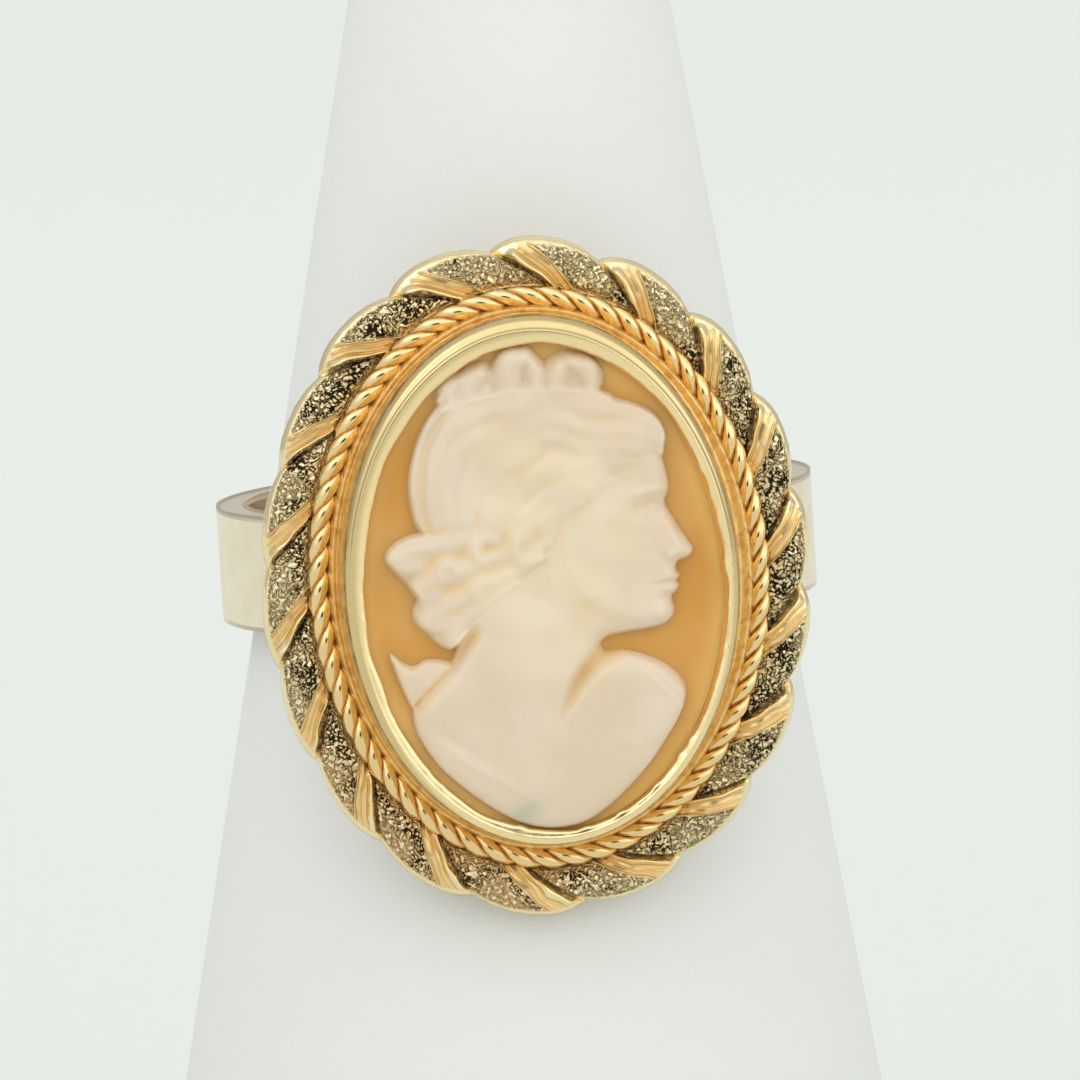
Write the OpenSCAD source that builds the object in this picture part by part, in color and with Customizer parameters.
/* [Display cone] */
// Diameter of the cone across its flat base
cone_base_d = 28.4; // [25:0.1:36]
// Slope of the cone's side against its axis, in degrees
cone_taper = 9.95; // [8:0.05:12]
// Radius of the ball-shaped tip
cone_tip_r = 3; // [2:0.1:4]
// Width of the bevel round the base
cone_foot = 0.4; // [0.2:0.1:1]

/* [Shank] */
// Inner diameter of the shank, the finger size
bore_d = 18.2; // [16:0.1:20]
// Thickness of the shank
shank_t = 1; // [0.8:0.05:1.6]
// Width of the shank along the finger
shank_w = 3.75; // [3:0.05:5]
// Rounding along the shank's four edges
shank_edge = 0.15; // [0.05:0.01:0.3]
// Clearance between the shank's lower edge and the cone
seat_gap = 0.12; // [0.1:0.01:0.3]
// Lean of the ring on its cone, in degrees
ring_lean = 2.3; // [0:0.1:4]

/* [Shoulders] */
// Half the distance between the two shoulders
shoulder_in = 4.4; // [3.6:0.1:5]
// Distance of a shoulder's outer face from the middle
shoulder_out = 7.3; // [6.6:0.1:7.8]
// Least height of the head above the shank
head_lift = 0.5; // [0.4:0.05:2]
// Clearance between the back of the head and the cone
head_gap = 0.25; // [0.15:0.05:1]

/* [Cameo] */
// Width of the oval shell
stone_w = 12.4; // [11:0.1:14]
// Height of the oval shell
stone_h = 16.6; // [15:0.1:18.5]
// Thickness of the shell's orange layer
ground_t = 1.7; // [1.3:0.05:2.4]
// Width of the bevel round the upper edge
ground_bevel = 0.3; // [0.25:0.01:0.4]
// Height of the bust at its highest, above the orange layer
figure_h = 1.5; // [1:0.05:1.8]
// Clearance round the shell in its bezel
stone_gap = 0.04; // [0.02:0.01:0.08]

/* [Bezel] */
// Thickness of the bezel wall at its foot
bezel_t = 0.38; // [0.3:0.01:0.6]
// Height of the bezel's crest above the shell's orange layer
bezel_rise = 0.65; // [0.5:0.05:1]
// Reach of the bezel's lip over the shell
lip = 0.22; // [0.1:0.01:0.24]
// Width of the ledge that the shell sits on
ledge_w = 0.6; // [0.4:0.05:1]
// Height of that ledge above the back of the head
ledge_h = 1.5; // [1.2:0.05:2.2]

/* [Twisted wire] */
// Diameter over both strands
wire_d = 0.85; // [0.6:0.01:1]
// Full turns that the two strands make round the head
wire_turns = 31; // [24:1:48]
// Clearance round the wire in its channel
wire_gap = 0.03; // [0.02:0.01:0.06]

/* [Scalloped frame] */
// Number of scallops
scallops = 18; // [12:1:24]
// Place of the first notch, clockwise from the top, as a share of a scallop
first_notch = 0.75; // [0:0.05:1]
// Width of the scalloped frame from its channel to its edge
frame_w = 1.45; // [1.1:0.05:2]
// Thickness of the frame at its rim and under the channel
frame_t = 0.75; // [0.6:0.05:1.1]
// Rise of the textured fields above the rim
field_rise = 0.55; // [0.3:0.05:0.8]
// Rise of the ribbons above the fields
ribbon_rise = 0.2; // [0.1:0.01:0.35]
// Depth of the notches between the scallops
notch = 0.35; // [0.2:0.01:0.5]
// Share of a scallop by which a ribbon slants from the rim to the channel
slant = 0.55; // [0:0.05:0.6]

/* [Hidden] */
$fn = 96;
wire_sides = 6;
wire_stations = wire_sides * wire_turns;
table_n = 180;
oval_step = 5;
cutter_over = 1;

// The bezel's top: how far out its flat reaches, as a share of the wall, and how far down its slopes end
bezel_flat = 0.6;
bezel_shoulder = 0.25;
bezel_slope = 1.2;

// How much faster than its field a ribbon rises from the rim
ribbon_steep = 3;

// Distances outwards from the shell's outline
bezel_out = stone_gap + bezel_t;
wire_mid = bezel_out + wire_gap + wire_d / 2;
channel_out = bezel_out + 2 * wire_gap + wire_d;
frame_out = channel_out + frame_w;

// Heights above the back of the head
ground_low = ledge_h + stone_gap;
ground_top = ground_low + ground_t;
crest_h = ground_top + bezel_rise;
wire_h = frame_t + wire_gap + wire_d / 2;

// The ring on its cone: where its lower edge meets the cone, and how far the head stands off
bore_r = bore_d / 2;
shank_r = bore_r + shank_t;
ring_z = (cone_base_d / 2 - bore_r + seat_gap) / tan(cone_taper) + shank_w / 2 * cos(ring_lean);
ring_shift = (shank_w / 2 + bore_r * tan(cone_taper)) * sin(ring_lean);
function cone_r(z) = cone_base_d / 2 - z * tan(cone_taper);
head_reach = stone_h / 2 + frame_out;
head_base = max(shank_r + head_lift, cone_r(ring_z - head_reach) + head_gap);
bury = frame_t / 2;

// Each row is one station of a scallop, clockwise from its notch
LOBE_PHASE = 0;
LOBE_EDGE = 1;
LOBE_FIELD = 2;
LOBE_RIBBON = 3;
LOBE = [
    // place in the scallop, reach of the edge, height of the field, height of the ribbon
    [0.00, 0.00, 0.10, 0.0],
    [0.03, 0.22, 0.80, 1.0],
    [0.10, 0.55, 0.92, 0.5],
    [0.19, 0.82, 1.00, 0.5],
    [0.27, 0.94, 1.00, 1.0],
    [0.31, 0.98, 1.00, 0.0],
    [0.45, 1.00, 1.00, 0.0],
    [0.63, 0.90, 0.88, 0.0],
    [0.81, 0.60, 0.60, 0.0],
    [0.96, 0.12, 0.20, 0.0]
];

// Each row is one line along the frame, from its rim to its channel
ARCH = [
    // share of the width, share of the rise
    [0.00, 0.00],
    [0.06, 0.40],
    [0.25, 0.85],
    [0.55, 1.00],
    [0.88, 0.75],
    [1.00, 0.10]
];

// Reach of the twisted wire's section at each of its sides
WIRE_SECTION = [1, 0.62, 0.62, 1, 0.62, 0.62];

// The bust, all as shares of the shell's half width and half height: its ends at each height
ROW_Y = 0;
ROW_LEFT = 1;
ROW_RIGHT = 2;
ROWS = [
    // height, left end, right end
    [-0.930, -0.06, 0.06], [-0.915, -0.17, 0.17], [-0.880, -0.27, 0.26], [-0.830, -0.38, 0.35],
    [-0.770, -0.48, 0.45], [-0.700, -0.575, 0.54], [-0.630, -0.64, 0.61], [-0.560, -0.685, 0.665],
    [-0.500, -0.705, 0.695], [-0.450, -0.725, 0.715], [-0.410, -0.75, 0.72], [-0.375, -0.765, 0.68],
    [-0.340, -0.78, 0.62], [-0.310, -0.79, 0.54], [-0.285, -0.80, 0.45], [-0.262, -0.81, 0.34],
    [-0.245, -0.66, 0.29], [-0.228, -0.47, 0.30], [-0.212, -0.46, 0.38], [-0.198, -0.49, 0.54],
    [-0.180, -0.52, 0.615], [-0.155, -0.57, 0.66], [-0.125, -0.63, 0.680], [-0.095, -0.665, 0.677],
    [-0.068, -0.67, 0.672], [-0.052, -0.67, 0.698], [-0.036, -0.665, 0.712], [-0.024, -0.66, 0.706],
    [-0.014, -0.66, 0.692], [-0.003, -0.66, 0.715], [0.010, -0.665, 0.718], [0.030, -0.68, 0.702],
    [0.055, -0.71, 0.702], [0.072, -0.74, 0.770], [0.088, -0.755, 0.792], [0.106, -0.775, 0.796],
    [0.130, -0.79, 0.778], [0.160, -0.80, 0.753], [0.190, -0.775, 0.728], [0.215, -0.72, 0.711],
    [0.240, -0.665, 0.693], [0.268, -0.655, 0.674], [0.295, -0.66, 0.664], [0.325, -0.663, 0.680],
    [0.355, -0.665, 0.690], [0.390, -0.667, 0.689], [0.425, -0.666, 0.684], [0.460, -0.664, 0.674],
    [0.495, -0.658, 0.660], [0.530, -0.648, 0.640], [0.565, -0.632, 0.614], [0.600, -0.610, 0.580],
    [0.630, -0.583, 0.550], [0.660, -0.550, 0.520], [0.690, -0.505, 0.490], [0.715, -0.460, 0.465],
    [0.740, -0.420, 0.455], [0.770, -0.405, 0.452], [0.800, -0.395, 0.445], [0.830, -0.360, 0.400],
    [0.860, -0.300, 0.330], [0.890, -0.220, 0.240], [0.915, -0.130, 0.120], [0.932, -0.070, 0.050]
];

// Height of the hair's edge at each distance from the middle
HAIRLINE = [
    [-0.50, -0.24], [-0.40, -0.14], [-0.27, -0.03], [-0.15, 0.08], [0.00, 0.21],
    [0.18, 0.31], [0.36, 0.41], [0.48, 0.50], [0.60, 0.60], [0.70, 0.72]
];

// Heights of the forms as shares of the bust's highest
SKIN_SHARE = 0.62;
HAIR_SHARE = 0.70;
CROWN_SHARE = 0.34;
CROWN_Y = 0.75;
EDGE_SHARE = 0.55;
HAIR_EDGE = 0.05;
edge_round = 0.13 * stone_w / 2;

// Ridges and grooves along lines
MARK_LINE = 0;
MARK_R = 1;
MARK_RISE = 2;
MARKS = [
    // line, half width, rise
    [[[0.57, 0.62], [0.30, 0.69], [0.00, 0.705], [-0.30, 0.69],
        [-0.50, 0.59], [-0.59, 0.42], [-0.57, 0.25]], 0.05, 0.2],
    [[[0.54, 0.54], [0.28, 0.61], [0.00, 0.62], [-0.25, 0.59],
        [-0.42, 0.48], [-0.49, 0.32], [-0.46, 0.18]], 0.05, 0.25],
    [[[0.46, 0.46], [0.25, 0.53], [0.00, 0.53], [-0.18, 0.49],
        [-0.32, 0.39], [-0.37, 0.25], [-0.34, 0.12]], 0.05, 0.25],
    [[[0.34, 0.39], [0.20, 0.44], [0.02, 0.43], [-0.12, 0.38],
        [-0.23, 0.29], [-0.26, 0.17], [-0.24, 0.05]], 0.05, 0.22],
    [[[0.22, 0.34], [0.10, 0.35], [-0.02, 0.31], [-0.11, 0.23], [-0.15, 0.14]], 0.05, 0.16],
    [[[-0.42, 0.20], [-0.58, 0.195], [-0.74, 0.155]], 0.06, 0.18],
    [[[-0.32, 0.10], [-0.49, 0.09], [-0.66, 0.045]], 0.06, 0.18],
    [[[-0.30, 0.01], [-0.45, -0.02], [-0.60, -0.075]], 0.06, 0.18],
    [[[-0.34, -0.07], [-0.43, -0.105], [-0.49, -0.165]], 0.05, 0.16],
    [[[-0.33, 0.77], [-0.34, 0.80]], 0.06, 0.30],
    [[[-0.20, 0.77], [-0.21, 0.84]], 0.06, 0.36],
    [[[-0.05, 0.77], [-0.05, 0.87]], 0.075, 0.40],
    [[[0.09, 0.77], [0.09, 0.86]], 0.05, 0.32],
    [[[0.22, 0.77], [0.23, 0.83]], 0.06, 0.36],
    [[[0.36, 0.76], [0.37, 0.80]], 0.06, 0.32],
    [[[0.27, -0.24], [0.15, -0.36], [0.06, -0.50]], 0.05, -0.24],
    [[[0.42, -0.21], [0.24, -0.18], [0.12, -0.05], [0.10, 0.10]], 0.06, -0.08],
    [[[-0.42, -0.22], [-0.56, -0.35], [-0.72, -0.50]], 0.05, -0.22],
    [[[0.44, -0.30], [0.56, -0.42], [0.66, -0.54]], 0.035, 0.10],
    [[[0.56, 0.355], [0.62, 0.365], [0.67, 0.345]], 0.05, 0.08],
    [[[0.56, 0.285], [0.62, 0.275]], 0.07, -0.16],
    [[[0.58, 0.262], [0.60, 0.262]], 0.035, 0.16],
    [[[0.67, 0.085], [0.69, 0.085]], 0.04, 0.10],
    [[[0.62, -0.016], [0.68, -0.014]], 0.03, -0.12],
    [[[0.44, 0.08], [0.46, -0.02]], 0.16, 0.08]
];

// Spaces across each height
columns = 44;

// A point beside the shell's outline: t is the angle clockwise from the top, o the distance outwards
function oval(t, o) =
    let (a = stone_w / 2, b = stone_h / 2, n = [b * sin(t), a * cos(t)])
    [a * sin(t), b * cos(t)] + o * n / norm(n);

// Angle at which a share f of the way round is reached, measured along the twisted wire
steps = [for (i = [0 : table_n]) oval(i * 360 / table_n, wire_mid)];
function step_length(i) = norm(steps[i] - steps[i - 1]);
lengths = [for (i = 0, s = 0; i <= table_n; i = i + 1, s = s + (i > table_n ? 0 : step_length(i))) s];
turn_table = [for (i = [0 : table_n]) [lengths[i] / lengths[table_n], i * 360 / table_n]];
function turn(f) = 360 * floor(f) + lookup(f - floor(f), turn_table);

// A ring of sections, each a closed list of points, as one closed surface
module swept(sections) {
    n = len(sections);
    m = len(sections[0]);
    polyhedron(
        points = [for (s = sections) each s],
        faces = [for (i = [0 : n - 1], j = [0 : m - 1])
            let (a = i * m + j, b = i * m + (j + 1) % m, k = (i + 1) % n * m)
            each [[a, b, k + (j + 1) % m], [a, k + (j + 1) % m, k + j]]]
    );
}

// A stack of closed outlines, each with as many points and anticlockwise, capped at both ends
module stacked(layers) {
    n = len(layers);
    m = len(layers[0]);
    polyhedron(
        points = [for (l = layers) each l],
        faces = concat(
            [[for (j = [0 : m - 1]) j]],
            [for (i = [0 : n - 2], j = [0 : m - 1])
                let (a = i * m + j, b = i * m + (j + 1) % m)
                each [[b, a, a + m], [b, a + m, b + m]]],
            [[for (j = [m - 1 : -1 : 0]) (n - 1) * m + j]]
        )
    );
}

// A smooth curve through the given points, closed or open, with n steps from each to the next
function through(p, n, closed = true) =
    let (c = len(p), last = closed ? c - 1 : c - 2)
    concat(
        [for (i = [0 : last], k = [0 : n - 1])
            let (
                u = k / n,
                a = closed ? p[(i + c - 1) % c] : p[max(i - 1, 0)],
                b = p[i],
                d = closed ? p[(i + 1) % c] : p[i + 1],
                e = closed ? p[(i + 2) % c] : p[min(i + 2, c - 1)]
            )
            0.5 * (2 * b + (d - a) * u + (2 * a - 5 * b + 4 * d - e) * pow(u, 2)
                + (3 * b - a - 3 * d + e) * pow(u, 3))],
        closed ? [] : [p[c - 1]]
    );

// Shares of the shell's half width and half height as a place on it
function on_stone(p) = [p.x * stone_w / 2, p.y * stone_h / 2];

// Distance of a point from a straight piece, and from a line of such pieces
function gap(p, a, b) = let (u = b - a) norm(p - a - u * max(0, min(1, (p - a) * u / (u * u))));
function line_gap(p, line) = min([for (i = [1 : len(line) - 1]) gap(p, line[i - 1], line[i])]);

module display_cone() {
    shoulder_r = cone_tip_r * cos(cone_taper);
    shoulder_z = (cone_base_d / 2 - shoulder_r) / tan(cone_taper);
    ball_z = shoulder_z - cone_tip_r * sin(cone_taper);
    color([0.89, 0.90, 0.88])
        rotate_extrude() {
            polygon([
                [0, 0],
                [cone_r(0) - cone_foot, 0],
                [cone_r(cone_foot), cone_foot],
                [shoulder_r, shoulder_z],
                [0, shoulder_z]
            ]);
            intersection() {
                translate([0, ball_z])
                    circle(r = cone_tip_r);
                translate([0, shoulder_z])
                    square(cone_tip_r);
            }
        }
}

// Puts what is drawn round the finger's axis on the cone, leaning
module on_cone() {
    translate([-ring_shift, 0, ring_z])
        rotate([0, -ring_lean, 0])
            children();
}

// Puts what is drawn flat, facing up, at the front of the ring
module on_head() {
    on_cone()
        translate([0, -head_base, 0])
            rotate([90, 0, 0])
                children();
}

module shank() {
    rotate_extrude()
        translate([bore_r + shank_t / 2, 0])
            polygon([
                for (c = [[1, 1], [-1, 1], [-1, -1], [1, -1]], k = c.x * c.y > 0 ? [0, 1] : [1, 0])
                [c.x * (shank_t / 2 - k * shank_edge), c.y * (shank_w / 2 - (1 - k) * shank_edge)]
            ]);
}

// Two posts that rise from the shank to the back of the head
module shoulders() {
    foot = sqrt(pow(shank_r, 2) - pow(shoulder_out, 2)) - shank_t / 2;
    size = [shoulder_out - shoulder_in, head_base + bury - foot, shank_w - 2 * shank_edge];
    difference() {
        for (side = [-1, 1])
            translate([side * (shoulder_in + shoulder_out) / 2, -(foot + head_base + bury) / 2, 0])
                cube(size, center = true);
        cylinder(r = bore_r + shank_t / 2, h = shank_w + cutter_over, center = true);
    }
}

// The frame's outline over its fields and ribbons, its channel, the bezel and its ledge
function head_section(f, row) =
    let (
        skew = slant / scallops,
        edge = frame_out - notch * (1 - row[LOBE_EDGE]),
        wide = edge - channel_out,
        rise = field_rise * row[LOBE_FIELD],
        side = [for (p = [
            [stone_gap - ledge_w, 0],
            [stone_gap - ledge_w, ledge_h],
            [stone_gap, ledge_h],
            [stone_gap, ground_top - ground_bevel],
            [stone_gap - lip, ground_top - ground_bevel + lip + stone_gap],
            [stone_gap - lip, crest_h - lip / 2],
            [stone_gap, crest_h],
            [bezel_out * bezel_flat, crest_h - bezel_rise * bezel_shoulder],
            [bezel_out, crest_h - bezel_rise * bezel_slope],
            [bezel_out, frame_t],
            [channel_out, frame_t]
        ]) [p, 1]],
        top = [for (i = [len(ARCH) - 1 : -1 : 0]) [[
            channel_out + wide * (1 - ARCH[i][0]),
            frame_t + rise * ARCH[i][1] + ribbon_rise * row[LOBE_RIBBON] * min(1, ribbon_steep * ARCH[i][1])
        ], ARCH[i][0]]],
        low = [[[edge, 0], 0]]
    )
    [for (q = concat(side, top, low))
        let (xy = oval(turn(f + skew * q[1]), q[0].x))
        [xy.x, xy.y, q[0].y]];

module head_frame() {
    sections = [for (k = [0 : scallops - 1], row = LOBE)
        head_section((k + first_notch + row[LOBE_PHASE]) / scallops, row)];
    swept(sections);
}

module ring_mount() {
    color([0.87, 0.74, 0.47]) {
        on_cone() {
            shank();
            shoulders();
        }
        on_head() head_frame();
    }
}

module rope_wire() {
    sections = [for (i = [0 : wire_stations - 1])
        let (f = i / wire_stations, t = turn(f), spin = 360 * wire_turns * f)
        [for (j = [0 : wire_sides - 1])
            let (
                r = wire_d / 2 * WIRE_SECTION[j],
                a = spin - 360 / wire_sides * j,
                xy = oval(t, wire_mid + r * cos(a))
            )
            [xy.x, xy.y, wire_h + r * sin(a)]]];
    color([0.85, 0.66, 0.34])
        on_head() swept(sections);
}

module cameo_ground() {
    rings = [[0, ground_low], [0, ground_top - ground_bevel], [-ground_bevel, ground_top]];
    color([0.84, 0.63, 0.38])
        on_head()
            stacked([for (r = rings)
                [for (a = [0 : oval_step : 360 - oval_step])
                    let (p = oval(-a, r[0]))
                    [p.x, p.y, r[1]]]]);
}

// Height of the bust over a place, as a share of its highest
function relief(p, row, lines) =
    let (
        q = on_stone(p),
        side = min(p.x - row[ROW_LEFT], row[ROW_RIGHT] - p.x) * stone_w / 2,
        flat = max(0, min(1, 1 - side / edge_round)),
        round = EDGE_SHARE + (1 - EDGE_SHARE) * sqrt(1 - flat * flat),
        hair = max(0, min(1, (p.y - lookup(p.x, HAIRLINE)) / HAIR_EDGE)),
        form = p.y > CROWN_Y ? CROWN_SHARE : SKIN_SHARE + (HAIR_SHARE - SKIN_SHARE) * hair,
        marks = [for (k = [0 : len(MARKS) - 1])
            MARKS[k][MARK_RISE] * exp(-pow(line_gap(q, lines[k]) / (MARKS[k][MARK_R] * stone_w / 2), 2))]
    )
    round * (form + max(0, max(marks)) + min(0, min(marks)));

module cameo_figure() {
    c = columns;
    e = len(ROWS) - 1;
    row_points = c + 1;
    low = (e + 1) * row_points;
    round_trip = 2 * (c + e);
    lines = [for (k = MARKS) [for (p = through(k[MARK_LINE], 2, closed = false)) on_stone(p)]];
    top = [for (row = ROWS, j = [0 : c])
        let (p = [row[ROW_LEFT] + (row[ROW_RIGHT] - row[ROW_LEFT]) * j / c, row[ROW_Y]])
        concat(on_stone(p), figure_h * relief(p, row, lines))];
    rim = concat(
        [for (j = [0 : c]) j],
        [for (i = [1 : e]) i * row_points + c],
        [for (j = [c - 1 : -1 : 0]) e * row_points + j],
        [for (i = [e - 1 : -1 : 1]) i * row_points]
    );
    color([0.93, 0.87, 0.80])
        on_head()
            translate([0, 0, ground_top])
                polyhedron(
                    points = concat(top, [for (k = rim) [top[k].x, top[k].y, 0]]),
                    faces = concat(
                        [for (i = [0 : e - 1], j = [0 : c - 1])
                            let (a = i * row_points + j, b = a + row_points)
                            each [[a, b + 1, a + 1], [a, b, b + 1]]],
                        [for (k = [0 : round_trip - 1])
                            let (next = (k + 1) % round_trip)
                            each [[rim[k], rim[next], low + next], [rim[k], low + next, low + k]]],
                        [for (i = [1 : e - 2])
                            [for (k = [round_trip - i, c + i, c + i + 1, round_trip - i - 1]) low + k]],
                        [[for (k = [-1 : c + 1]) low + (k + round_trip) % round_trip]],
                        [[for (k = [c + e - 1 : 2 * c + e + 1]) low + k]]
                    )
                );
}

display_cone();
ring_mount();
rope_wire();
cameo_ground();
cameo_figure();
